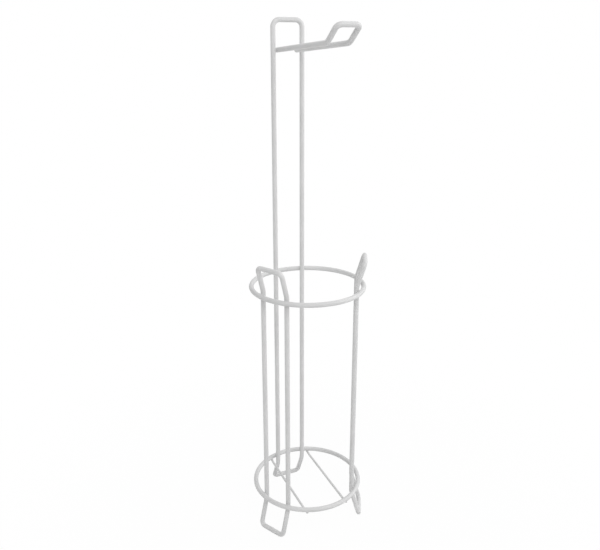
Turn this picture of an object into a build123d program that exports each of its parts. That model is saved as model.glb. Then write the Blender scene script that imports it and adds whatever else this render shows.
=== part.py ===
from build123d import *
from math import atan2, degrees, sqrt, tan
import os

# Free-standing toilet roll stand, welded from bent round steel wire.
# Frame: +Z up, floor at Z = 0, origin on the axis of the two cage rings.
# The post stands at +Y and the roll arm reaches from it towards -Y, over the cage.
# Radii and heights named "ring", "post", "leg" and "arm" are those of the wire's centre line.

# ---- wire stock ----
wire_diameter = 5.8
floor_wire_diameter = 3.0

# ---- cage rings ----
ring_radius = 67.5
ring_spacing = 270.75

# ---- post and legs: hairpin loops standing inside the rings, touching both ----
loop_width = 36.0  # between the two upright wires of a loop
leg_turn = 117.2  # degrees round the axis, from the post to either leg
overall_height = 619.0
post_corner_radius = 8.2

leg_rise = 35.25  # top bar above the top ring
leg_flare = 8.85  # top bar outward of the upright wires
flare_bend_rise = 5.2  # corner of the flare bend above the top ring
leg_corner_radius = 5.6

foot_drop = 41.0  # floor bar below the base ring
foot_corner_radius = 5.7
leg_foot_splay = 10.8  # floor bar outward of the upright wires
leg_foot_bend_drop = 4.75  # corner of the foot bend below the base ring
post_foot_splay = 16.1
post_foot_bend_drop = 9.2

# ---- roll arm: one wire bent to a U, both ends welded between the post's wires ----
arm_drop = 32.7  # arm below the post's top bar, where they cross
arm_reach = 132.75  # from the post forward to the corner of the up-turned tip
arm_lift = 6.7  # rise of the arm over that reach
arm_end_overrun = wire_diameter / 2  # ends flush with the back of the post's wires
tip_reach = 22.2
tip_rise = 16.5
tip_bend_radius = 16.1
tip_corner_radius = 5.9

# ---- cage floor: two thin wires under the base ring ----
floor_wire_spacing = 53.65
floor_wire_overrun = 1.5  # past the base ring's centre line, at each end

# ---- welds ----
weld_radius = 2.2  # disc-shaped nugget where two thick wires cross
weld_depth = 3.2  # both wires together
floor_weld_radius = 0.9
floor_weld_depth = 1.4
butt_weld_length = 1.5  # where the two ends of a loop or ring meet
bend_clearance = 0.8  # straight wire between a nugget and the bend beyond it

# ---- heights and distances that follow ----
foot_height = wire_diameter / 2
base_ring_height = foot_height + foot_drop
top_ring_height = base_ring_height + ring_spacing
post_top_height = overall_height - wire_diameter / 2
leg_top_height = top_ring_height + leg_rise

half_loop = loop_width / 2
upright_distance = ring_radius - wire_diameter  # upright wire's centre line from the axis
loop_offset = sqrt(upright_distance**2 - half_loop**2)  # plane of a loop from the axis
contact_share = (ring_radius - wire_diameter / 2) / upright_distance

arm_height = post_top_height - arm_drop
arm_slope = arm_lift / arm_reach
half_arm = half_loop - wire_diameter
arm_back = loop_offset + arm_end_overrun
arm_bend = loop_offset - arm_reach
arm_tip = arm_bend - tip_reach

floor_wire_height = base_ring_height - (wire_diameter + floor_wire_diameter) / 2
floor_wire_offset = floor_wire_spacing / 2
floor_cross_offset = sqrt(ring_radius**2 - floor_wire_offset**2)
floor_wire_reach = floor_cross_offset + floor_wire_overrun

post_turn = 0.0
loop_turns = {"rear_post": post_turn, "left_leg": leg_turn, "right_leg": -leg_turn}
ring_heights = {"top_ring": top_ring_height, "base_ring": base_ring_height}
floor_wire_places = {"left_floor_wire": -floor_wire_offset, "right_floor_wire": floor_wire_offset}


def turned(angle):
    """Plane on the floor, turned about the axis so that its +Y points out to a loop."""
    return Plane.XY.rotated((0, 0, angle))


def bend_radius(sideways, length, corner_distance):
    """Radius of a bend that starts just past a ring's welds, corner_distance from the ring."""
    return (corner_distance - weld_radius - bend_clearance) / tan(
        atan2(sideways, length - corner_distance) / 2
    )


def mirrored(half):
    """A symmetrical route: the half at x > 0, then its mirror image in reverse."""
    return half + [(-x, y, z) for x, y, z in reversed(half)]


def ring_contacts(angle, height):
    """Where the two upright wires of a loop touch a ring, as planes between the two wires."""
    across = half_loop * contact_share
    outward = loop_offset * contact_share
    points = [turned(angle).from_local_coords(Vector(x, outward, height)) for x in (-across, across)]
    return [Plane(point, z_dir=(point.X, point.Y, 0)) for point in points]


def floor_contacts(x):
    """Where a floor wire touches the underside of the base ring, as planes between them."""
    height = base_ring_height - wire_diameter / 2
    return [Plane((x, y, height)) for y in (-floor_cross_offset, floor_cross_offset)]


def bent_wire(plane, corners, radii, nuggets):
    """Thick wire along straight runs and tangent bends, less its share of each weld nugget."""
    with BuildPart() as wire:
        with BuildLine(plane) as route:
            FilletPolyline(*corners, radius=radii)
        with BuildSketch(Plane(route.line @ 0, z_dir=route.line % 0)):
            Circle(wire_diameter / 2)
        sweep()
        with Locations(*nuggets):
            Cylinder(weld_radius, weld_depth, mode=Mode.SUBTRACT)
    return wire


def ring_arc(height, start, span):
    """Stretch of a cage ring that covers span degrees, counter-clockwise from start."""
    with BuildPart() as arc:
        with BuildSketch(Plane.XZ.rotated((0, 0, start))):
            with Locations((ring_radius, height)):
                Circle(wire_diameter / 2)
        revolve(axis=Axis.Z, revolution_arc=span)
    return arc


def finish(name, piece):
    """Label a piece and write it as a STEP file of that name."""
    piece.part.label = name
    export_step(piece.part, f"parts/{name}.step")


os.makedirs("parts", exist_ok=True)

# ---- where the wires cross and are welded ----
ring_welds = {
    (loop, ring): ring_contacts(angle, height)
    for loop, angle in loop_turns.items()
    for ring, height in ring_heights.items()
}
floor_welds = {name: floor_contacts(x) for name, x in floor_wire_places.items()}
arm_weld_offset = half_loop - wire_diameter / 2
arm_welds = [
    Plane((x, loop_offset, arm_height), z_dir=(x, 0, 0)) for x in (-arm_weld_offset, arm_weld_offset)
]

# ---- hairpin loops: routes from the butt weld under the loop up to its top bar ----
post_route = [
    (butt_weld_length / 2, loop_offset + post_foot_splay, foot_height),
    (half_loop, loop_offset + post_foot_splay, foot_height),
    (half_loop, loop_offset, base_ring_height - post_foot_bend_drop),
    (half_loop, loop_offset, post_top_height),
]
post_radii = [
    foot_corner_radius,
    bend_radius(post_foot_splay, foot_drop, post_foot_bend_drop),
    post_corner_radius,
]
leg_route = [
    (butt_weld_length / 2, loop_offset + leg_foot_splay, foot_height),
    (half_loop, loop_offset + leg_foot_splay, foot_height),
    (half_loop, loop_offset, base_ring_height - leg_foot_bend_drop),
    (half_loop, loop_offset, top_ring_height + flare_bend_rise),
    (half_loop, loop_offset + leg_flare, leg_top_height),
]
leg_radii = [
    foot_corner_radius,
    bend_radius(leg_foot_splay, foot_drop, leg_foot_bend_drop),
    bend_radius(leg_flare, leg_rise, flare_bend_rise),
    leg_corner_radius,
]
for loop, angle in loop_turns.items():
    is_post = loop == "rear_post"
    route = post_route if is_post else leg_route
    radii = post_radii if is_post else leg_radii
    nuggets = ring_welds[loop, "top_ring"] + ring_welds[loop, "base_ring"]
    if is_post:
        nuggets += arm_welds
    finish(loop, bent_wire(turned(angle), mirrored(route), radii + radii[::-1], nuggets))

    # Butt weld under the loop, dressed flush with the wire.
    middle = turned(angle).from_local_coords(Vector(0, *route[0][1:]))
    with BuildPart() as butt_weld:
        with Locations(Plane(middle, z_dir=turned(angle).x_dir)):
            Cylinder(wire_diameter / 2, butt_weld_length)
    finish(f"{loop}_butt_weld", butt_weld)

# ---- roll arm ----
arm_route = [
    (half_arm, arm_back, arm_height - arm_slope * arm_end_overrun),
    (half_arm, arm_bend, arm_height + arm_lift),
    (half_arm, arm_tip, arm_height + arm_lift + tip_rise),
]
arm_radii = [tip_bend_radius, tip_corner_radius]
roll_arm = bent_wire(Plane.XY, mirrored(arm_route), arm_radii + arm_radii[::-1], arm_welds)
finish("roll_arm", roll_arm)

# ---- cage rings, butt welded at the back between the post's wires ----
butt_weld_angle = degrees(butt_weld_length / ring_radius)
for ring, height in ring_heights.items():
    with BuildPart() as hoop:
        add(ring_arc(height, 90 + butt_weld_angle / 2, 360 - butt_weld_angle).part)
        with Locations(*[point for loop in loop_turns for point in ring_welds[loop, ring]]):
            Cylinder(weld_radius, weld_depth, mode=Mode.SUBTRACT)
        if ring == "base_ring":
            with Locations(*[point for points in floor_welds.values() for point in points]):
                Cylinder(floor_weld_radius, floor_weld_depth, mode=Mode.SUBTRACT)
    finish(ring, hoop)
    finish(f"{ring}_butt_weld", ring_arc(height, 90 - butt_weld_angle / 2, butt_weld_angle))

# ---- cage floor wires ----
for name, x in floor_wire_places.items():
    with BuildPart() as floor_wire:
        with Locations(Plane((x, 0, floor_wire_height), z_dir=(0, 1, 0))):
            Cylinder(floor_wire_diameter / 2, 2 * floor_wire_reach)
        with Locations(*floor_welds[name]):
            Cylinder(floor_weld_radius, floor_weld_depth, mode=Mode.SUBTRACT)
    finish(name, floor_wire)

# ---- weld nuggets where two wires cross ----
nugget_groups = {
    f"{loop}_{ring}_welds": (places, weld_radius, weld_depth)
    for (loop, ring), places in ring_welds.items()
}
nugget_groups["roll_arm_welds"] = (arm_welds, weld_radius, weld_depth)
for name, places in floor_welds.items():
    nugget_groups[f"{name}_welds"] = (places, floor_weld_radius, floor_weld_depth)
for name, (places, radius, depth) in nugget_groups.items():
    with BuildPart() as nuggets:
        with Locations(*places):
            Cylinder(radius, depth)
    finish(name, nuggets)
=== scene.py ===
"""Looks of a free-standing wire toilet roll stand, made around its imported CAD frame.

The stand is welded from eight bent wires and powder coated in one pale grey: a tall
rear post, two short legs with flared tops, a roll arm, two hoops that make the cage
for spare rolls, and two thin wires that close the cage floor. Each wire is drawn along
the centre line of its CAD solid, and each weld is a small bead or seam collar that the
coat has smoothed over. Lengths in the classes are millimetres unless a name says
otherwise, and everything that reaches Blender is in metres.
"""

import logging
import math
from collections.abc import Callable
from dataclasses import dataclass
from enum import Enum
from random import Random
from typing import Any

import bmesh
import bpy
from mathutils import Matrix, Vector


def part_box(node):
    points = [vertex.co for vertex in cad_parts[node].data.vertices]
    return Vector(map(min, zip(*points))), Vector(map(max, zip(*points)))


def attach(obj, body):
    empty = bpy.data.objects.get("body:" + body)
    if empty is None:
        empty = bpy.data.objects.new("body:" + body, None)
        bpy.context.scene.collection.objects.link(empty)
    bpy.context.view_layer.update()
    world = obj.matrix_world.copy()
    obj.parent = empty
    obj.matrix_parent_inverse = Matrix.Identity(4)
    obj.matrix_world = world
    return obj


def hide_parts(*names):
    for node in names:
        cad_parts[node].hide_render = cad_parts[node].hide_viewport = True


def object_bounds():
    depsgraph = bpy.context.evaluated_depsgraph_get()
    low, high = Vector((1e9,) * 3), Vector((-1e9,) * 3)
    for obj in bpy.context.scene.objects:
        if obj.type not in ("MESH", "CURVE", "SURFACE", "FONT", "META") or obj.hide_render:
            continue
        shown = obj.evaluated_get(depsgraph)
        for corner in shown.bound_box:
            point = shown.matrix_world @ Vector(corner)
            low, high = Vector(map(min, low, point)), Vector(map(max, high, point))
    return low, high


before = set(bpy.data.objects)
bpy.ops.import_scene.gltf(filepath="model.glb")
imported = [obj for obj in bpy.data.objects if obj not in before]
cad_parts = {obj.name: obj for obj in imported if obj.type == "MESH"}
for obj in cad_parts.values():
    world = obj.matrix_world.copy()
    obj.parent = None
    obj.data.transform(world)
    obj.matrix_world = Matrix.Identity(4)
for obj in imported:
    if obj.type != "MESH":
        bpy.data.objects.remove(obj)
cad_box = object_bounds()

log = logging.getLogger("roll_stand")

MM = 0.001
BODY = "root"
LEG_TURN = math.radians(117.2)  # from the post to either leg, round the upright axis


class Hoop(Enum):
    """The two welded rings of the cage, by the name of their CAD node."""

    TOP = "top_ring"
    BASE = "base_ring"


class Side(Enum):
    """Left and right as the stand is seen with its post at the back.

    The value is the way that a leg is turned about the upright axis.
    """

    LEFT = 1.0
    RIGHT = -1.0


class Slot(Enum):
    """The record's material slots."""

    WIRE = "coated_wire"
    WELD = "coated_weld"


# ---------------------------------------------------------------- small helpers


def linear(hex_code: str) -> tuple[float, float, float, float]:
    """Turn an sRGB hex colour into the linear values that a shader takes.

    Args:
        hex_code: Six hex digits, with or without a leading hash.

    Returns:
        Linear red, green and blue, and an alpha of one.
    """
    digits = hex_code.lstrip("#")
    channels = (int(digits[i : i + 2], 16) / 255 for i in (0, 2, 4))
    red, green, blue = (
        c / 12.92 if c <= 0.04045 else ((c + 0.055) / 1.055) ** 2.4 for c in channels
    )
    return red, green, blue, 1.0


def add_node(
    tree: bpy.types.NodeTree, kind: str, feeds: dict[str | int, Any] | None = None, **settings: Any
) -> bpy.types.Node:
    """Add one node to a tree with its settings, and feed its inputs.

    Args:
        tree: The shader or geometry tree that gets the node.
        kind: The node's type name.
        feeds: For each input, by name or number, a value or a socket to link from.
        **settings: Properties of the node itself, set before its inputs are fed.

    Returns:
        The new node.
    """
    made = tree.nodes.new(kind)
    for name, value in settings.items():
        setattr(made, name, value)
    for key, value in (feeds or {}).items():
        if isinstance(value, bpy.types.NodeSocket):
            tree.links.new(value, made.inputs[key])
        else:
            made.inputs[key].default_value = value
    return made


def empty_tree(owner: bpy.types.Material | bpy.types.World) -> bpy.types.NodeTree:
    """Give a material or the world an empty shader tree.

    Args:
        owner: What the tree belongs to.

    Returns:
        The tree, with no nodes.
    """
    owner.use_nodes = True
    owner.node_tree.nodes.clear()
    return owner.node_tree


def open_tree(name: str, sockets: dict[str, str]) -> tuple[bpy.types.NodeTree, bpy.types.Node]:
    """Start a geometry tree with named inputs and one geometry output.

    Args:
        name: The tree's name.
        sockets: The type of each input socket, by its label, the geometry first.

    Returns:
        The tree and its group input node.
    """
    tree = bpy.data.node_groups.new(name, "GeometryNodeTree")
    for label, kind in sockets.items():
        tree.interface.new_socket(label, in_out="INPUT", socket_type=kind)
    tree.interface.new_socket("Geometry", in_out="OUTPUT", socket_type="NodeSocketGeometry")
    return tree, add_node(tree, "NodeGroupInput")


def close_tree(
    tree: bpy.types.NodeTree, shape: bpy.types.NodeSocket, coating: bpy.types.NodeSocket
) -> None:
    """End a geometry tree: shade its shape smooth, realise it, coat it and hand it over.

    Args:
        tree: The geometry tree.
        shape: The socket that gives the shape.
        coating: The socket that gives its material.
    """
    smooth = add_node(tree, "GeometryNodeSetShadeSmooth", {"Geometry": shape})
    real = add_node(tree, "GeometryNodeRealizeInstances", {"Geometry": smooth.outputs["Geometry"]})
    dressed = add_node(
        tree, "GeometryNodeSetMaterial", {"Geometry": real.outputs["Geometry"], "Material": coating}
    )
    add_node(tree, "NodeGroupOutput", {"Geometry": dressed.outputs["Geometry"]})


def run_tree(
    name: str, base: bpy.types.Mesh, tree: bpy.types.NodeTree, values: dict[str, Any]
) -> bpy.types.Object:
    """Run a geometry tree on a mesh and keep what it makes as a plain mesh object.

    Args:
        name: The name of the finished piece.
        base: The mesh that the tree starts from. It is thrown away afterwards.
        tree: The geometry tree.
        values: The value of each named input of the tree.

    Returns:
        A new object at the origin that holds the realised mesh.
    """
    carrier = bpy.data.objects.new(f"{name}_carrier", base)
    bpy.context.scene.collection.objects.link(carrier)
    maker = carrier.modifiers.new("maker", "NODES")
    maker.node_group = tree
    keys = {
        item.name: item.identifier
        for item in tree.interface.items_tree
        if item.item_type == "SOCKET" and item.in_out == "INPUT"
    }
    for label, value in values.items():
        maker[keys[label]] = value
    graph = bpy.context.evaluated_depsgraph_get()
    mesh = bpy.data.meshes.new_from_object(carrier.evaluated_get(graph))
    carrier.modifiers.remove(maker)
    bpy.data.objects.remove(carrier)
    bpy.data.meshes.remove(base)
    mesh.name = name
    piece = bpy.data.objects.new(name, mesh)
    bpy.context.scene.collection.objects.link(piece)
    return piece


def closed_skin(
    name: str,
    rings: list[list[tuple[float, float, float]]],
    hearts: tuple[tuple[float, float, float], tuple[float, float, float]],
) -> bpy.types.Object:
    """Skin a stack of rings and close each end to a point.

    Args:
        name: The form's name.
        rings: The rings' points, the same number in each.
        hearts: The point that closes the first ring and the one that closes the last.

    Returns:
        A closed mesh object whose faces point outwards.
    """
    shape = bmesh.new()
    laid = [[shape.verts.new(point) for point in ring] for ring in rings]
    sides = [(i, (i + 1) % len(rings[0])) for i in range(len(rings[0]))]
    for near, far in zip(laid, laid[1:]):
        for i, j in sides:
            shape.faces.new((near[i], near[j], far[j], far[i]))
    for ring, heart in zip((laid[0], laid[-1]), hearts):
        tip = shape.verts.new(heart)
        for i, j in sides:
            shape.faces.new((tip, ring[i], ring[j]))
    bmesh.ops.recalc_face_normals(shape, faces=shape.faces)
    mesh = bpy.data.meshes.new(name)
    shape.to_mesh(mesh)
    shape.free()
    return bpy.data.objects.new(name, mesh)


def standing_off(bearing: float, elevation: float) -> Vector:
    """Work out the way from the stand to a lamp or the camera.

    Args:
        bearing: Degrees to the right of the front.
        elevation: Degrees above the level.

    Returns:
        The unit vector that way.
    """
    across, rise = math.radians(bearing), math.radians(elevation)
    level = math.cos(rise)
    return Vector((math.sin(across) * level, -math.cos(across) * level, math.sin(rise)))


def corner_bend(sideways: float, length: float, corner: float, clear: float) -> float:
    """Work out the radius of a bend that starts at a set distance from a weld.

    Args:
        sideways: How far the bent run moves sideways.
        length: The height from the weld to the far end of the bent run.
        corner: The height from the weld to the corner of the two runs.
        clear: The straight length kept next to the weld.

    Returns:
        The bend's radius at the wire's centre line.
    """
    turn = math.atan2(sideways, length - corner)
    return (corner - clear) / math.tan(turn / 2)


# ---------------------------------------------------------------- finishes


@dataclass(frozen=True)
class PowderCoat:
    """Polyester powder coat on drawn steel wire, sprayed and baked.

    The powder flows out in the oven to an even satin skin. The eye gets a soft, wide
    highlight along each wire, a faint orange peel in it, and a tone that hardly
    changes except where the skin is thinner.
    """

    name: str
    full_coat: str
    thin_coat: str
    satin: tuple[float, float]
    peel_size: float
    peel_height: float
    cloud_size: float
    speck_size: float
    thin_from: float = 0.34
    thin_to: float = 0.66
    speck_from: float = 0.3
    speck_to: float = 0.7
    grain_strength: float = 0.6
    grain_share: float = 0.25
    ior: float = 1.5

    def material(self) -> bpy.types.Material:
        """Build the finish as a node material.

        Returns:
            The material, which reads only object coordinates.
        """
        finish = bpy.data.materials.new(self.name)
        tree = empty_tree(finish)
        place = add_node(tree, "ShaderNodeTexCoord").outputs["Object"]
        # Clouds: the skin is a little thicker or thinner every few centimetres.
        clouds = add_node(
            tree,
            "ShaderNodeTexNoise",
            {
                "Vector": place,
                "Scale": 1 / (self.cloud_size * MM),
                "Detail": 3.0,
                "Roughness": 0.55,
            },
        )
        depth = add_node(
            tree,
            "ShaderNodeMapRange",
            {"Value": clouds.outputs["Fac"], "From Min": self.thin_from, "From Max": self.thin_to},
            interpolation_type="SMOOTHSTEP",
        )
        tone = add_node(
            tree,
            "ShaderNodeMix",
            {0: depth.outputs["Result"], 6: linear(self.thin_coat), 7: linear(self.full_coat)},
            data_type="RGBA",
        )
        # Specks: single powder grains that didn't flow out quite flat.
        specks = add_node(
            tree,
            "ShaderNodeTexNoise",
            {
                "Vector": place,
                "Scale": 1 / (self.speck_size * MM),
                "Detail": 2.0,
                "Roughness": 0.6,
            },
        )
        gloss = add_node(tree, "ShaderNodeMapRange", {
            "Value": specks.outputs["Fac"],
            "From Min": self.speck_from,
            "From Max": self.speck_to,
            "To Min": self.satin[0],
            "To Max": self.satin[1],
        })
        # Orange peel: real cells are half this size and far lower, which is too fine to show.
        peel = add_node(
            tree,
            "ShaderNodeTexNoise",
            {
                "Vector": place,
                "Scale": 1 / (self.peel_size * MM),
                "Detail": 1.5,
                "Roughness": 0.45,
            },
        )
        swell = add_node(
            tree,
            "ShaderNodeBump",
            {"Strength": 1.0, "Distance": self.peel_height * MM, "Height": peel.outputs["Fac"]},
        )
        grain = add_node(tree, "ShaderNodeBump", {
            "Strength": self.grain_strength,
            "Distance": self.grain_share * self.peel_height * MM,
            "Height": specks.outputs["Fac"],
            "Normal": swell.outputs["Normal"],
        })
        skin = add_node(tree, "ShaderNodeBsdfPrincipled", {
            "Base Color": tone.outputs[2],
            "Roughness": gloss.outputs["Result"],
            "Metallic": 0.0,
            "IOR": self.ior,
            "Normal": grain.outputs["Normal"],
        })
        add_node(tree, "ShaderNodeOutputMaterial", {"Surface": skin.outputs["BSDF"]})
        return finish


WIRE_COAT = PowderCoat(
    name="powder_coated_steel_wire",
    full_coat="#D7D7D7",
    thin_coat="#D1D1D1",
    satin=(0.42, 0.5),
    peel_size=2.4,
    peel_height=0.1,
    cloud_size=38.0,
    speck_size=0.7,
)

# Fused metal is rougher under the skin, and powder gathers in the neck of the bead.
WELD_COAT = PowderCoat(
    name="powder_coated_steel_weld",
    full_coat="#D5D5D5",
    thin_coat="#CCCCCC",
    satin=(0.46, 0.56),
    peel_size=1.1,
    peel_height=0.030,
    cloud_size=5.0,
    speck_size=0.6,
)


# ---------------------------------------------------------------- wires


@dataclass(frozen=True)
class Corner:
    """A corner of a wire's centre line, in metres, before it is bent round."""

    place: Vector
    bend: float = 0.0
    girth: float = 1.0


def both_sides(half: list[tuple[float, ...]], place: Callable[..., Vector]) -> list[Corner]:
    """Lay out half a route, as across, out, height and bend, then its mirror image in reverse."""
    laid = [Corner(place(x, y, z), bend * MM) for x, y, z, bend in half]
    return laid + [Corner(place(-x, y, z), bend * MM) for x, y, z, bend in reversed(half)]


@dataclass
class WireMaker:
    """Draws coated wire along a route of corners with one geometry tree."""

    coating: bpy.types.Material
    facets: int = 32
    bend_steps: int = 14
    run_step: float = 2.0
    ripple_height: float = 0.035
    ripple_length: float = 14.0
    rim: float = 0.55
    rim_steps: int = 5

    def __post_init__(self) -> None:
        """Build the tree once for all the wires."""
        self.tree = self.build_tree()

    def build_tree(self) -> bpy.types.NodeTree:
        """Build the tree that bends a route, gives it a round section and coats it.

        Returns:
            The geometry tree.
        """
        tree, sizes = open_tree("wire_along_route", {
            "Route": "NodeSocketGeometry",
            "Wire Radius": "NodeSocketFloat",
            "Facets": "NodeSocketInt",
            "Bend Steps": "NodeSocketInt",
            "Run Step": "NodeSocketFloat",
            "Ripple Height": "NodeSocketFloat",
            "Ripple Length": "NodeSocketFloat",
            "Seed": "NodeSocketFloat",
            "Coating": "NodeSocketMaterial",
        })
        feed = sizes.outputs
        route = add_node(tree, "GeometryNodeMeshToCurve", {"Mesh": feed["Route"]})
        bend = add_node(
            tree, "GeometryNodeInputNamedAttribute", {"Name": "bend"}, data_type="FLOAT"
        )
        bent = add_node(tree, "GeometryNodeFilletCurve", {
            "Curve": route.outputs["Curve"],
            "Count": feed["Bend Steps"],
            "Radius": bend.outputs["Attribute"],
            "Limit Radius": False,
        }, mode="POLY")
        # Long runs are divided, so that the coat's slow ripple has points to move.
        along = add_node(tree, "GeometryNodeSplineParameter").outputs["Length"]
        here = add_node(tree, "GeometryNodeInputIndex").outputs["Index"]
        after = add_node(tree, "ShaderNodeMath", {0: here, 1: 1.0}, operation="ADD")
        ahead = add_node(
            tree,
            "GeometryNodeFieldAtIndex",
            {"Index": after.outputs[0], "Value": along},
            data_type="FLOAT",
            domain="POINT",
        )
        run = add_node(
            tree, "ShaderNodeMath", {0: ahead.outputs["Value"], 1: along}, operation="SUBTRACT"
        )
        parts = add_node(
            tree, "ShaderNodeMath", {0: run.outputs[0], 1: feed["Run Step"]}, operation="DIVIDE"
        )
        cuts = add_node(tree, "ShaderNodeMath", {0: parts.outputs[0], 1: 0.0}, operation="MAXIMUM")
        divided = add_node(
            tree,
            "GeometryNodeSubdivideCurve",
            {"Curve": bent.outputs["Curve"], "Cuts": cuts.outputs[0]},
        )
        section = add_node(
            tree,
            "GeometryNodeCurvePrimitiveCircle",
            {"Resolution": feed["Facets"], "Radius": feed["Wire Radius"]},
            mode="RADIUS",
        )
        girth = add_node(
            tree, "GeometryNodeInputNamedAttribute", {"Name": "girth"}, data_type="FLOAT"
        )
        drawn = add_node(tree, "GeometryNodeCurveToMesh", {
            "Curve": divided.outputs["Curve"],
            "Profile Curve": section.outputs["Curve"],
            "Scale": girth.outputs["Attribute"],
            "Fill Caps": True,
        })
        # The ripple only takes away, so a coated wire never outgrows its CAD solid.
        pitch = add_node(
            tree, "ShaderNodeMath", {0: 1.0, 1: feed["Ripple Length"]}, operation="DIVIDE"
        )
        ripple = add_node(tree, "ShaderNodeTexNoise", {
            "Vector": add_node(tree, "GeometryNodeInputPosition").outputs["Position"],
            "W": feed["Seed"],
            "Scale": pitch.outputs[0],
            "Detail": 1.0,
        }, noise_dimensions="4D")
        dip = add_node(
            tree,
            "ShaderNodeMath",
            {0: ripple.outputs["Fac"], 1: feed["Ripple Height"]},
            operation="MULTIPLY",
        )
        inward = add_node(
            tree, "ShaderNodeMath", {0: dip.outputs[0], 1: -1.0}, operation="MULTIPLY"
        )
        shift = add_node(
            tree,
            "ShaderNodeVectorMath",
            {
                0: add_node(tree, "GeometryNodeInputNormal").outputs["Normal"],
                "Scale": inward.outputs[0],
            },
            operation="SCALE",
        )
        coated = add_node(
            tree,
            "GeometryNodeSetPosition",
            {"Geometry": drawn.outputs["Mesh"], "Offset": shift.outputs["Vector"]},
        )
        close_tree(tree, coated.outputs["Geometry"], feed["Coating"])
        return tree

    def cut_ends(self, corners: list[Corner], radius: float) -> list[Corner]:
        """Give both ends of an open route a sheared end whose rim the coat has rounded.

        Args:
            corners: The route, from one cut end to the other.
            radius: The wire's radius in metres.

        Returns:
            The route with closely spaced, narrowing corners at each end.
        """

        def end(tip: Vector, inner: Vector) -> list[Corner]:
            """Lay out one end from its cut face inwards.

            Args:
                tip: The middle of the cut face.
                inner: The next corner of the route.

            Returns:
                The end's corners.
            """
            rim = self.rim * MM
            inwards = (inner - tip).normalized()
            laid = []
            for step in range(self.rim_steps + 1):
                lean = step / self.rim_steps * math.pi / 2
                laid.append(
                    Corner(
                        tip + inwards * rim * (1 - math.cos(lean)),
                        girth=(radius - rim * (1 - math.sin(lean))) / radius,
                    )
                )
            return laid

        first = end(corners[0].place, corners[1].place)
        last = end(corners[-1].place, corners[-2].place)
        return first + corners[1:-1] + last[::-1]

    def draw(
        self, name: str, corners: list[Corner], closed: bool, radius: float, seed: int
    ) -> bpy.types.Object:
        """Draw one wire.

        Args:
            name: The piece's name.
            corners: The corners of its centre line.
            closed: Whether the last corner joins the first.
            radius: The wire's radius in metres.
            seed: Fixes the ripple of this wire's coat.

        Returns:
            The wire as one closed mesh.
        """
        laid = corners if closed else self.cut_ends(corners, radius)
        links = [(i, i + 1) for i in range(len(laid) - 1)]
        if closed:
            links.append((len(laid) - 1, 0))
        route = bpy.data.meshes.new(f"{name}_route")
        route.from_pydata([c.place for c in laid], links, [])
        route.attributes.new("bend", "FLOAT", "POINT").data.foreach_set(
            "value", [c.bend for c in laid]
        )
        route.attributes.new("girth", "FLOAT", "POINT").data.foreach_set(
            "value", [c.girth for c in laid]
        )
        values = {
            "Wire Radius": radius,
            "Facets": self.facets,
            "Bend Steps": self.bend_steps,
            "Run Step": self.run_step * MM,
            "Ripple Height": self.ripple_height * MM,
            "Ripple Length": self.ripple_length * MM,
            "Seed": float(seed),
            "Coating": self.coating,
        }
        return run_tree(name, route, self.tree, values)


# ---------------------------------------------------------------- welds


@dataclass(frozen=True)
class WeldSpot:
    """Where two wires cross and touch: the lower wire, the upper wire, and the way between."""

    place: Vector
    normal: Vector
    lower_axis: Vector
    upper_axis: Vector
    lower_radius: float
    upper_radius: float

    def basis(self) -> Matrix:
        """Work out how a bead is turned to sit in the crossing.

        Returns:
            The turn from the bead's own axes, with X along the lower wire.
        """
        across = self.normal.cross(self.lower_axis).normalized()
        along = across.cross(self.normal).normalized()
        return Matrix((along, across, self.normal)).transposed()

    def crossing(self) -> float:
        """Return the angle from the lower wire to the upper one, about the normal."""
        own = self.basis().transposed() @ self.upper_axis
        return math.atan2(own.y, own.x)


def uneven(seed: int, amount: float, waves: int = 4) -> tuple[tuple[float, float, float], ...]:
    """Draw the waves that make a hand-fused outline a little uneven.

    Args:
        seed: Fixes the draw.
        amount: The greatest share by which the outline may leave its mean.
        waves: How many waves are added up.

    Returns:
        The count round the outline, the size and the phase of each wave.
    """
    dice = Random(seed)
    return tuple(
        (float(k), dice.uniform(0.3, 1.0) * amount / waves * 2, dice.uniform(0, math.tau))
        for k in range(2, 2 + waves)
    )


def outline(waves: tuple[tuple[float, float, float], ...], bearing: float) -> float:
    """Return the uneven outline's share of its mean at one bearing."""
    return 1 + sum(size * math.sin(count * bearing + phase) for count, size, phase in waves)


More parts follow.
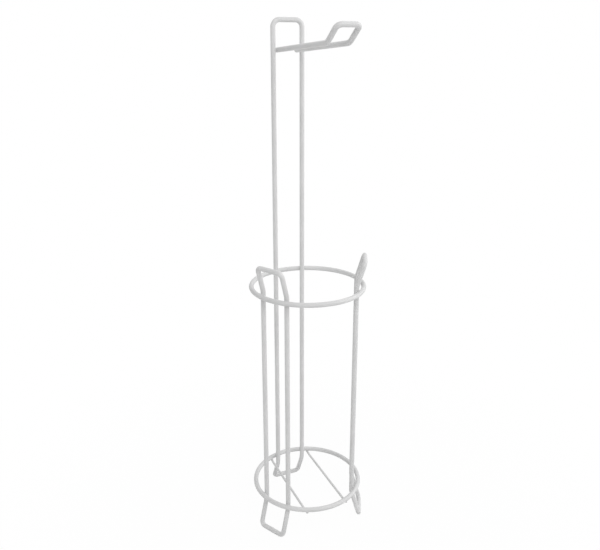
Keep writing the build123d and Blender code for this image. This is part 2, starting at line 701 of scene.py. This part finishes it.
@dataclass(frozen=True)
class WeldBead:
    """Metal squeezed out where two crossed wires were spot welded, under the coat."""

    toe: float = 0.86
    neck: float = 0.64
    spread: float = 2.2
    heart: float = 0.3
    unevenness: float = 0.09
    rounds: int = 44
    steps: int = 14
    bite: float = 0.05

    def form(self, name: str, spot: WeldSpot, seed: int) -> bpy.types.Object:
        """Build the bead of one crossing about its own origin.

        The skin leaves the lower wire at the toe, narrows to the neck and meets the
        upper wire at its toe. Its two ends close inside the wires.

        Args:
            name: The bead's name.
            spot: The crossing that it sits in.
            seed: Fixes its uneven outline.

        Returns:
            The bead as a closed mesh object, with Z along the crossing's normal.
        """
        small = min(spot.lower_radius, spot.upper_radius)
        crossing = spot.crossing()
        toes, necks = uneven(seed, self.unevenness), uneven(seed + 1, self.unevenness)
        rings = []
        for step in range(self.steps + 1):
            share = step / self.steps
            blend = share * share * (3 - 2 * share)
            sink = self.bite * MM * (1 if step == 0 else -1 if step == self.steps else 0)
            ring = []
            for turn in range(self.rounds):
                bearing = math.tau * turn / self.rounds
                toe = small * self.toe * outline(toes, bearing)
                neck = small * self.neck * outline(necks, bearing)
                reach = neck + (toe - neck) * abs(2 * share - 1) ** self.spread
                off_lower = reach * abs(math.sin(bearing))
                off_upper = reach * abs(math.sin(bearing - crossing))
                low = math.sqrt(spot.lower_radius**2 - off_lower**2) - spot.lower_radius
                high = spot.upper_radius - math.sqrt(spot.upper_radius**2 - off_upper**2)
                height = (1 - blend) * low + blend * high - sink
                ring.append((reach * math.cos(bearing), reach * math.sin(bearing), height))
            rings.append(ring)
        depth = self.heart * small
        return closed_skin(name, rings, ((0.0, 0.0, -depth), (0.0, 0.0, depth)))


@dataclass(frozen=True)
class SeamCollar:
    """The low ridge where a loop or hoop was closed end to end and ground, under the coat."""

    half_length: float = 2.2
    height: float = 0.2
    heart: float = 0.6
    unevenness: float = 0.3
    drift: float = 0.35
    rounds: int = 44
    steps: int = 16
    bite: float = 0.06

    def form(self, name: str, radius: float, seed: int) -> bpy.types.Object:
        """Build the collar about its own origin, along its own X axis.

        Args:
            name: The collar's name.
            radius: The radius of the wire that it closes, in metres.
            seed: Fixes its uneven ridge.

        Returns:
            The collar as a closed mesh object.
        """
        ridge = uneven(seed, self.unevenness)
        drift = uneven(seed + 1, self.drift)
        rings = []
        for step in range(self.steps + 1):
            share = 2 * step / self.steps - 1
            swell = math.cos(share * math.pi / 2) ** 2
            ring = []
            for turn in range(self.rounds):
                bearing = math.tau * turn / self.rounds
                lift = (self.height * outline(ridge, bearing) + self.bite) * swell - self.bite
                across = radius + lift * MM
                along = (share * self.half_length + (outline(drift, bearing) - 1) * swell) * MM
                ring.append((along, across * math.cos(bearing), across * math.sin(bearing)))
            rings.append(ring)
        depth = self.heart * self.half_length * MM
        return closed_skin(name, rings, ((-depth, 0.0, 0.0), (depth, 0.0, 0.0)))


@dataclass
class WeldMaker:
    """Sets weld forms on their spots with one geometry tree."""

    coating: bpy.types.Material
    size_spread: float = 0.03

    def __post_init__(self) -> None:
        """Build the tree once for all the welds."""
        self.tree = self.build_tree()

    def build_tree(self) -> bpy.types.NodeTree:
        """Build the tree that sets one form on each spot, turned as the spot says.

        Returns:
            The geometry tree.
        """
        tree, sizes = open_tree("welds_on_spots", {
            "Spots": "NodeSocketGeometry",
            "Forms": "NodeSocketCollection",
            "Size Spread": "NodeSocketFloat",
            "Lowest": "NodeSocketVector",
            "Highest": "NodeSocketVector",
            "Seed": "NodeSocketInt",
            "Coating": "NodeSocketMaterial",
        })
        feed = sizes.outputs
        forms = add_node(
            tree,
            "GeometryNodeCollectionInfo",
            {"Collection": feed["Forms"], "Separate Children": True, "Reset Children": True},
        )
        turn = add_node(
            tree, "GeometryNodeInputNamedAttribute", {"Name": "turn"}, data_type="FLOAT_VECTOR"
        )
        facing = add_node(tree, "FunctionNodeEulerToRotation", {"Euler": turn.outputs["Attribute"]})
        least = add_node(
            tree, "ShaderNodeMath", {0: 1.0, 1: feed["Size Spread"]}, operation="SUBTRACT"
        )
        size = add_node(
            tree,
            "FunctionNodeRandomValue",
            {2: least.outputs[0], 3: 1.0, "Seed": feed["Seed"]},
            data_type="FLOAT",
        )
        placed = add_node(tree, "GeometryNodeInstanceOnPoints", {
            "Points": feed["Spots"],
            "Instance": forms.outputs["Instances"],
            "Pick Instance": True,
            "Instance Index": add_node(tree, "GeometryNodeInputIndex").outputs["Index"],
            "Rotation": facing.outputs["Rotation"],
            "Scale": size.outputs[1],
        })
        real = add_node(
            tree, "GeometryNodeRealizeInstances", {"Geometry": placed.outputs["Instances"]}
        )
        # A seam is ground flush where it would stand proud of the stand's outer size.
        where = add_node(tree, "GeometryNodeInputPosition").outputs["Position"]
        above = add_node(
            tree, "ShaderNodeVectorMath", {0: where, 1: feed["Lowest"]}, operation="MAXIMUM"
        )
        within = add_node(
            tree,
            "ShaderNodeVectorMath",
            {0: above.outputs["Vector"], 1: feed["Highest"]},
            operation="MINIMUM",
        )
        ground = add_node(
            tree,
            "GeometryNodeSetPosition",
            {"Geometry": real.outputs["Geometry"], "Position": within.outputs["Vector"]},
        )
        close_tree(tree, ground.outputs["Geometry"], feed["Coating"])
        return tree

    def set_forms(
        self, name: str, seats: list[tuple[bpy.types.Object, Vector, Matrix]], seed: int
    ) -> bpy.types.Object:
        """Set each form on its place and make one piece of them.

        Args:
            name: The piece's name.
            seats: Each bead or collar, where it goes and how it is turned.
            seed: Fixes the small differences in size.

        Returns:
            The welds as one mesh object.
        """
        tray = bpy.data.collections.new(f"{name}_forms")
        for form, _, _ in seats:
            form.data.materials.append(self.coating)
            tray.objects.link(form)
        spots = bpy.data.meshes.new(f"{name}_spots")
        spots.from_pydata([place for _, place, _ in seats], [], [])
        turns = [angle for _, _, basis in seats for angle in basis.to_euler()]
        spots.attributes.new("turn", "FLOAT_VECTOR", "POINT").data.foreach_set("vector", turns)
        values = {
            "Forms": tray,
            "Size Spread": self.size_spread,
            "Lowest": tuple(cad_box[0]),
            "Highest": tuple(cad_box[1]),
            "Seed": seed,
            "Coating": self.coating,
        }
        piece = run_tree(name, spots, self.tree, values)
        for form, _, _ in seats:
            bpy.data.objects.remove(form)
        bpy.data.collections.remove(tray)
        return piece


# ---------------------------------------------------------------- the workshop


class Workshop:
    """The trees and finishes that every part of the stand is made with."""

    FIRST_SEED = 7
    SEED_STEP = 10

    def __init__(self) -> None:
        """Build the trees and finishes once."""
        self.wires = WireMaker(WIRE_COAT.material())
        self.welds = WeldMaker(WELD_COAT.material())
        self.bead = WeldBead()
        self.collar = SeamCollar()
        self.seed = self.FIRST_SEED

    def next_seed(self) -> int:
        """Return a new fixed seed for the next piece."""
        self.seed += self.SEED_STEP
        return self.seed

    def wire(
        self, node: str, corners: list[Corner], closed: bool, radius: float
    ) -> bpy.types.Object:
        """Draw the wire that stands for one CAD wire, and dress it.

        Args:
            node: The CAD wire's name.
            corners: The corners of its centre line.
            closed: Whether the route closes on itself.
            radius: The wire's radius in metres.

        Returns:
            The finished piece.
        """
        piece = self.wires.draw(f"{node}_wire", corners, closed, radius, self.next_seed())
        return self.dress(piece, Slot.WIRE, node)

    def beads(self, node: str, spots: list[WeldSpot]) -> bpy.types.Object:
        """Set the weld beads that stand for one CAD set of welds, and dress them.

        Args:
            node: The CAD weld node's name.
            spots: The crossings that are welded.

        Returns:
            The finished piece.
        """
        seed = self.next_seed()
        seats = [
            (self.bead.form(f"{node}_{i}", spot, seed + i), spot.place, spot.basis())
            for i, spot in enumerate(spots)
        ]
        return self.dress(self.welds.set_forms(f"{node}_beads", seats, seed), Slot.WELD, node)

    def seam(self, node: str, place: Vector, along: Vector, radius: float) -> bpy.types.Object:
        """Set the collar that stands for one CAD butt weld, and dress it.

        Args:
            node: The CAD butt weld's name.
            place: The middle of the seam.
            along: The way that the wire runs there.
            radius: The wire's radius in metres.

        Returns:
            The finished piece.
        """
        seed = self.next_seed()
        basis = along.to_track_quat("X", "Z").to_matrix()
        seat = (self.collar.form(node, radius, seed), place, basis)
        return self.dress(self.welds.set_forms(f"{node}_collar", [seat], seed), Slot.WELD, node)

    def dress(self, piece: bpy.types.Object, slot: Slot, node: str) -> bpy.types.Object:
        """Tie a finished piece to the frame and report it.

        Args:
            piece: The piece, in place.
            slot: Not used.
            node: The CAD node that it stands for.

        Returns:
            The same piece.
        """
        for leftover in ("bend", "girth", "turn"):
            if leftover in piece.data.attributes:
                piece.data.attributes.remove(piece.data.attributes[leftover])
        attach(piece, BODY)
        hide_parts(node)
        log.info("%s stands for %s with %d faces", piece.name, node, len(piece.data.polygons))
        return piece


# ---------------------------------------------------------------- sub-assemblies


@dataclass
class CageHoop:
    """One welded ring of the cage."""

    hoop: Hoop
    corners: int = 96

    def __post_init__(self) -> None:
        """Take the ring's place and sizes from its CAD solid."""
        low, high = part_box(self.hoop.value)
        self.centre = (low + high) / 2
        self.wire_radius = (high.z - low.z) / 2
        self.radius = (high.x - low.x) / 2 - self.wire_radius

    def point(self, bearing: float) -> Vector:
        """Return the centre line's point at a bearing from +Y."""
        return self.centre + self.radius * Vector((-math.sin(bearing), math.cos(bearing), 0))

    def build(self, shop: Workshop) -> None:
        """Make the ring and the seam behind the post that closes it.

        Args:
            shop: The workshop that draws wires and sets welds.
        """
        turns = [math.tau * i / self.corners for i in range(self.corners)]
        shop.wire(self.hoop.value, [Corner(self.point(t)) for t in turns], True, self.wire_radius)
        shop.seam(
            f"{self.hoop.value}_butt_weld", self.point(0.0), Vector((1, 0, 0)), self.wire_radius
        )


@dataclass
class UprightLoop:
    """A closed loop of wire that stands on the floor and carries both rings inside them."""

    node: str
    turn: float
    rings: tuple[CageHoop, CageHoop]
    half_loop: float
    offset: float
    foot_splay: float
    foot_bend_drop: float
    foot_corner: float = 5.7
    seam_half: float = 0.75
    straight_by_weld: float = 3.0

    def __post_init__(self) -> None:
        """Take the loop's heights from the CAD solids."""
        low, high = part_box(self.node)
        self.wire = self.rings[0].wire_radius
        self.foot = (low.z + self.wire) / MM
        self.top = (high.z - self.wire) / MM
        self.lower_ring = self.rings[1].centre.z / MM
        self.upper_ring = self.rings[0].centre.z / MM
        self.axis = self.rings[1].centre

    def place(self, across: float, out: float, height: float) -> Vector:
        """Turn a point of the loop's own plane into the stand's frame.

        Args:
            across: Sideways from the loop's middle.
            out: Outwards from the rings' axis.
            height: Above the floor.

        Returns:
            The point in metres.
        """
        sin, cos = math.sin(self.turn), math.cos(self.turn)
        spot = Vector((across * cos - out * sin, across * sin + out * cos, height)) * MM
        return spot + Vector((self.axis.x, self.axis.y, 0))

    def top_corners(self) -> list[tuple[float, float, float, float]]:
        """Return the corners above the base ring: across, out, height and bend."""
        raise NotImplementedError

    def route(self) -> list[Corner]:
        """Lay out the whole loop from one side of its seam to the other.

        Returns:
            The corners, up one side, over the top and down the other.
        """
        out = self.offset + self.foot_splay
        drop = self.lower_ring - self.foot
        foot_bend = corner_bend(self.foot_splay, drop, self.foot_bend_drop, self.straight_by_weld)
        half = [
            (self.seam_half, out, self.foot, 0.0),
            (self.half_loop, out, self.foot, self.foot_corner),
            (self.half_loop, self.offset, self.lower_ring - self.foot_bend_drop, foot_bend),
            *self.top_corners(),
        ]
        return both_sides(half, self.place)

    def spots(self, ring: CageHoop) -> list[WeldSpot]:
        """Find the two crossings where this loop is welded to a ring.

        Args:
            ring: The ring that the loop's uprights touch from inside.

        Returns:
            The crossing of each upright.
        """
        found = []
        for across in (self.half_loop, -self.half_loop):
            upright = self.place(across, self.offset, ring.centre.z / MM)
            outward = (upright - ring.centre).normalized()
            spot = WeldSpot(
                place=upright + outward * self.wire,
                normal=outward,
                lower_axis=Vector((0, 0, 1)),
                upper_axis=Vector((-outward.y, outward.x, 0)),
                lower_radius=self.wire,
                upper_radius=ring.wire_radius,
            )
            found.append(spot)
        return found

    def build(self, shop: Workshop) -> None:
        """Make the loop, its seam and its welds to both rings.

        Args:
            shop: The workshop that draws wires and sets welds.
        """
        shop.wire(self.node, self.route(), True, self.wire)
        middle = self.place(0.0, self.offset + self.foot_splay, self.foot)
        along = self.place(1.0, self.offset + self.foot_splay, self.foot) - middle
        shop.seam(f"{self.node}_butt_weld", middle, along.normalized(), self.wire)
        for ring in self.rings:
            shop.beads(f"{self.node}_{ring.hoop.value}_welds", self.spots(ring))


@dataclass
class RearPost(UprightLoop):
    """The tall loop at the back, with a plain square-shouldered top."""

    foot_bend_drop: float = 9.2
    top_corner: float = 8.2

    def top_corners(self) -> list[tuple[float, float, float, float]]:
        """Return the one corner at the top: across, out, height and bend."""
        return [(self.half_loop, self.offset, self.top, self.top_corner)]


@dataclass
class Leg(UprightLoop):
    """A short loop at the front of the cage, whose top flares out past the top ring."""

    foot_splay: float = 10.8
    foot_bend_drop: float = 4.75
    flare: float = 8.85
    flare_bend_rise: float = 5.2
    top_corner: float = 5.6

    def top_corners(self) -> list[tuple[float, float, float, float]]:
        """Lay out the flare.

        Returns:
            Its corners above the top ring: across, out, height and bend.
        """
        rise = self.top - self.upper_ring
        flare_bend = corner_bend(self.flare, rise, self.flare_bend_rise, self.straight_by_weld)
        return [
            (self.half_loop, self.offset, self.upper_ring + self.flare_bend_rise, flare_bend),
            (self.half_loop, self.offset + self.flare, self.top, self.top_corner),
        ]


@dataclass
class RollArm:
    """The double arm that a roll hangs on, welded between the post's two wires."""

    post: RearPost
    tip_reach: float = 22.2
    tip_rise: float = 16.5
    tip_bend: float = 16.1
    tip_corner: float = 5.9
    reach: float = 132.75
    lift: float = 6.7

    def __post_init__(self) -> None:
        """Take the arm's place from its CAD solid."""
        low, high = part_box("roll_arm")
        self.wire = self.post.wire
        self.half = (high.x - low.x) / 2 / MM - self.wire / MM
        self.tip_y = (low.y + self.wire) / MM
        self.tip_z = (high.z - self.wire) / MM
        self.bend_y = self.tip_y + self.tip_reach
        self.bend_z = self.tip_z - self.tip_rise
        self.weld_y = self.bend_y + self.reach
        self.weld_z = self.bend_z - self.lift
        self.slope = self.lift / self.reach
        self.back_y = self.weld_y + self.wire / MM

    def place(self, across: float, out: float, height: float) -> Vector:
        """Return a point of the arm in the stand's frame, in metres."""
        return Vector((across, out, height)) * MM

    def route(self) -> list[Corner]:
        """Lay out the arm from one cut end round the tip to the other.

        Returns:
            The corners of the centre line.
        """
        half = [
            (self.half, self.back_y, self.weld_z - self.slope * self.wire / MM, 0.0),
            (self.half, self.bend_y, self.bend_z, self.tip_bend),
            (self.half, self.tip_y, self.tip_z, self.tip_corner),
        ]
        return both_sides(half, self.place)

    def spots(self) -> list[WeldSpot]:
        """Find the crossings where the arm's wires touch the post's from inside.

        Returns:
            The crossing on each side.
        """
        return [
            WeldSpot(
                place=Vector(
                    (side * (self.half * MM + self.wire), self.weld_y * MM, self.weld_z * MM)
                ),
                normal=Vector((side, 0, 0)),
                lower_axis=Vector((0, -self.reach, self.lift)).normalized(),
                upper_axis=Vector((0, 0, 1)),
                lower_radius=self.wire,
                upper_radius=self.wire,
            )
            for side in (1.0, -1.0)
        ]

    def build(self, shop: Workshop) -> None:
        """Make the arm and its welds.

        Args:
            shop: The workshop that draws wires and sets welds.
        """
        shop.wire("roll_arm", self.route(), False, self.wire)
        shop.beads("roll_arm_welds", self.spots())


@dataclass
class FloorWire:
    """A thin wire under the base ring that keeps the lowest roll in the cage."""

    node: str
    ring: CageHoop
    set_down: float = 0.9
    pressed_run: float = 3.0
    ramp: float = 6.0
    ramp_bend: float = 12.0

    def __post_init__(self) -> None:
        """Take the wire's place from its CAD solid."""
        low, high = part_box(self.node)
        self.radius = (high.x - low.x) / 2
        self.middle = (low + high) / 2
        self.reach = (high.y - low.y) / 2
        self.across = self.middle.x - self.ring.centre.x
        self.far = math.sqrt(self.ring.radius**2 - self.across**2)

    def route(self) -> list[Corner]:
        """Lay the wire straight, with both ends pressed up into the ring by the spot welder.

        Returns:
            The wire's corners, from the front end to the back.
        """
        pressed = self.far - self.pressed_run * MM
        level = pressed - self.ramp * MM
        up = Vector((0, 0, self.set_down * MM))
        bend = self.ramp_bend * MM
        front, back = (
            [
                Corner(self.middle + Vector((0, side * self.reach, 0)) + up),
                Corner(self.middle + Vector((0, side * pressed, 0)) + up, bend),
                Corner(self.middle + Vector((0, side * level, 0)), bend),
            ]
            for side in (-1.0, 1.0)
        )
        return front + back[::-1]

    def spots(self) -> list[WeldSpot]:
        """Find the crossings where the wire touches the ring from below.

        Returns:
            The crossing at each end.
        """
        touch = self.middle.z + self.radius
        return [
            WeldSpot(
                place=Vector((self.middle.x, self.ring.centre.y + side * self.far, touch)),
                normal=Vector((0, 0, 1)),
                lower_axis=Vector((0, 1, 0)),
                upper_axis=Vector((-side * self.far, self.across, 0)).normalized(),
                lower_radius=self.radius,
                upper_radius=self.ring.wire_radius,
            )
            for side in (1.0, -1.0)
        ]

    def build(self, shop: Workshop) -> None:
        """Make the wire and its welds.

        Args:
            shop: The workshop that draws wires and sets welds.
        """
        shop.wire(self.node, self.route(), False, self.radius)
        shop.beads(f"{self.node}_welds", self.spots())


# ---------------------------------------------------------------- studio


@dataclass(frozen=True)
class SoftLamp:
    """A large square lamp that looks at the middle of the stand."""

    name: str
    bearing: float
    elevation: float
    distance: float
    size: float
    power: float

    def hang(self, aim: Vector) -> None:
        """Hang the lamp.

        Args:
            aim: The point that it looks at.
        """
        lamp = bpy.data.lights.new(self.name, "AREA")
        lamp.shape = "SQUARE"
        lamp.size = self.size
        lamp.energy = self.power
        holder = bpy.data.objects.new(self.name, lamp)
        away = standing_off(self.bearing, self.elevation)
        holder.location = aim + away * self.distance
        holder.rotation_euler = (-away).to_track_quat("-Z", "Y").to_euler()
        bpy.context.scene.collection.objects.link(holder)


@dataclass(frozen=True)
class Studio:
    """A plain pale floor in a white room with soft light."""

    room_level: float = 0.54
    floor_colour: str = "#F0F0F0"
    floor_half: float = 6.0
    wash_near: float = 0.96
    wash_from: float = 0.12
    wash_to: float = 0.55
    lamps: tuple[SoftLamp, ...] = (
        SoftLamp("front_lamp", bearing=-8.0, elevation=42.0, distance=2.2, size=1.4, power=19.0),
        SoftLamp("side_lamp", bearing=80.0, elevation=18.0, distance=2.2, size=1.6, power=16.0),
        SoftLamp("back_lamp", bearing=150.0, elevation=50.0, distance=2.2, size=1.0, power=6.0),
    )

    def seen_directly(self, tree: bpy.types.NodeTree) -> bpy.types.NodeSocket:
        """Tell the rays that see the backdrop from the rays that light the stand.

        Args:
            tree: The shader tree that needs to know.

        Returns:
            A socket that is one for camera, glossy and transmission rays.
        """
        path = add_node(tree, "ShaderNodeLightPath").outputs
        some = add_node(
            tree,
            "ShaderNodeMath",
            {0: path["Is Camera Ray"], 1: path["Is Glossy Ray"]},
            operation="MAXIMUM",
        )
        every = {0: some.outputs[0], 1: path["Is Transmission Ray"]}
        return add_node(tree, "ShaderNodeMath", every, operation="MAXIMUM").outputs[0]

    def room(self) -> None:
        """Make the world: white where it is seen, softer where it lights the stand."""
        world = bpy.data.worlds.new("white_room")
        tree = empty_tree(world)
        level = add_node(
            tree,
            "ShaderNodeMapRange",
            {"Value": self.seen_directly(tree), "To Min": self.room_level, "To Max": 1.0},
        )
        sky = add_node(
            tree,
            "ShaderNodeBackground",
            {"Color": linear("#FFFFFF"), "Strength": level.outputs["Result"]},
        )
        add_node(tree, "ShaderNodeOutputWorld", {"Surface": sky.outputs["Background"]})
        bpy.context.scene.world = world

    def floor_finish(self) -> bpy.types.Material:
        """Make the floor's matt paint, which fades to white away from the stand.

        Returns:
            The floor's material. It keeps part of the stand's shadow near the feet.
        """
        finish = bpy.data.materials.new("matt_painted_floor")
        tree = empty_tree(finish)
        paint = add_node(
            tree, "ShaderNodeBsdfDiffuse", {"Color": linear(self.floor_colour), "Roughness": 0.8}
        )
        white = add_node(tree, "ShaderNodeEmission", {"Color": linear("#FFFFFF"), "Strength": 1.0})
        place = add_node(tree, "ShaderNodeTexCoord").outputs["Object"]
        away = add_node(tree, "ShaderNodeVectorMath", {0: place}, operation="LENGTH")
        wash = add_node(tree, "ShaderNodeMapRange", {
            "Value": away.outputs["Value"],
            "From Min": self.wash_from,
            "From Max": self.wash_to,
            "To Min": self.wash_near,
            "To Max": 1.0,
        }, interpolation_type="SMOOTHSTEP")
        seen = self.seen_directly(tree)
        share = add_node(
            tree, "ShaderNodeMath", {0: seen, 1: wash.outputs["Result"]}, operation="MULTIPLY"
        )
        mixed = add_node(
            tree,
            "ShaderNodeMixShader",
            {0: share.outputs[0], 1: paint.outputs["BSDF"], 2: white.outputs["Emission"]},
        )
        add_node(tree, "ShaderNodeOutputMaterial", {"Surface": mixed.outputs["Shader"]})
        return finish

    def build(self) -> None:
        """Lay the floor, light the room and set the plain view transform."""
        low, high = (Vector(corner) for corner in cad_box)
        half = self.floor_half
        corners = [
            (-half, -half, low.z),
            (half, -half, low.z),
            (half, half, low.z),
            (-half, half, low.z),
        ]
        mesh = bpy.data.meshes.new("studio_floor")
        mesh.from_pydata(corners, [], [(0, 1, 2, 3)])
        mesh.materials.append(self.floor_finish())
        floor = bpy.data.objects.new("studio_floor", mesh)
        bpy.context.scene.collection.objects.link(floor)
        self.room()
        for lamp in self.lamps:
            lamp.hang((low + high) / 2)
        bpy.context.scene.view_settings.view_transform = "Standard"


@dataclass(frozen=True)
class Viewpoint:
    """The camera, aimed just above the top ring from the front left."""

    bearing: float = -23.055
    elevation: float = 18.523
    roll: float = -0.035
    distance: float = 0.8
    lens: float = 40.544
    sensor_width: float = 36.0
    aim_from_ring: tuple[float, float, float] = (-11.9, -4.93, 15.98)

    def build(self, ring: CageHoop) -> None:
        """Make the camera and use it.

        Args:
            ring: The ring that the camera is aimed by.
        """
        aim = ring.centre + Vector(self.aim_from_ring) * MM
        away = standing_off(self.bearing, self.elevation)
        data = bpy.data.cameras.new("camera")
        data.lens = self.lens
        data.sensor_width = self.sensor_width
        camera = bpy.data.objects.new("camera", data)
        camera.location = aim + away * self.distance
        look = (-away).to_track_quat("-Z", "Y").to_matrix()
        camera.rotation_euler = (look @ Matrix.Rotation(math.radians(self.roll), 3, "Z")).to_euler()
        bpy.context.scene.collection.objects.link(camera)
        bpy.context.scene.camera = camera


def main() -> None:
    """Build the stand's pieces in order, then the studio."""
    logging.basicConfig(level=logging.INFO, format="%(name)s: %(message)s")
    shop = Workshop()
    top_ring, base_ring = CageHoop(Hoop.TOP), CageHoop(Hoop.BASE)
    rings = (top_ring, base_ring)
    low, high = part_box("rear_post")
    wire = top_ring.wire_radius / MM
    half_loop = (high.x - low.x) / 2 / MM - wire
    offset = low.y / MM + wire
    foot_splay = (high.y - low.y) / MM - 2 * wire
    post = RearPost("rear_post", 0.0, rings, half_loop, offset, foot_splay)
    parts: list[Any] = [top_ring, base_ring, post]
    for side in Side:
        name = f"{side.name.lower()}_leg"
        parts.append(Leg(name, side.value * LEG_TURN, rings, half_loop, offset))
    parts.append(RollArm(post))
    parts += [FloorWire(f"{side.name.lower()}_floor_wire", base_ring) for side in Side]
    for part in parts:
        part.build(shop)
    Studio().build()
    Viewpoint().build(top_ring)


if __name__ == "__main__":
    main()
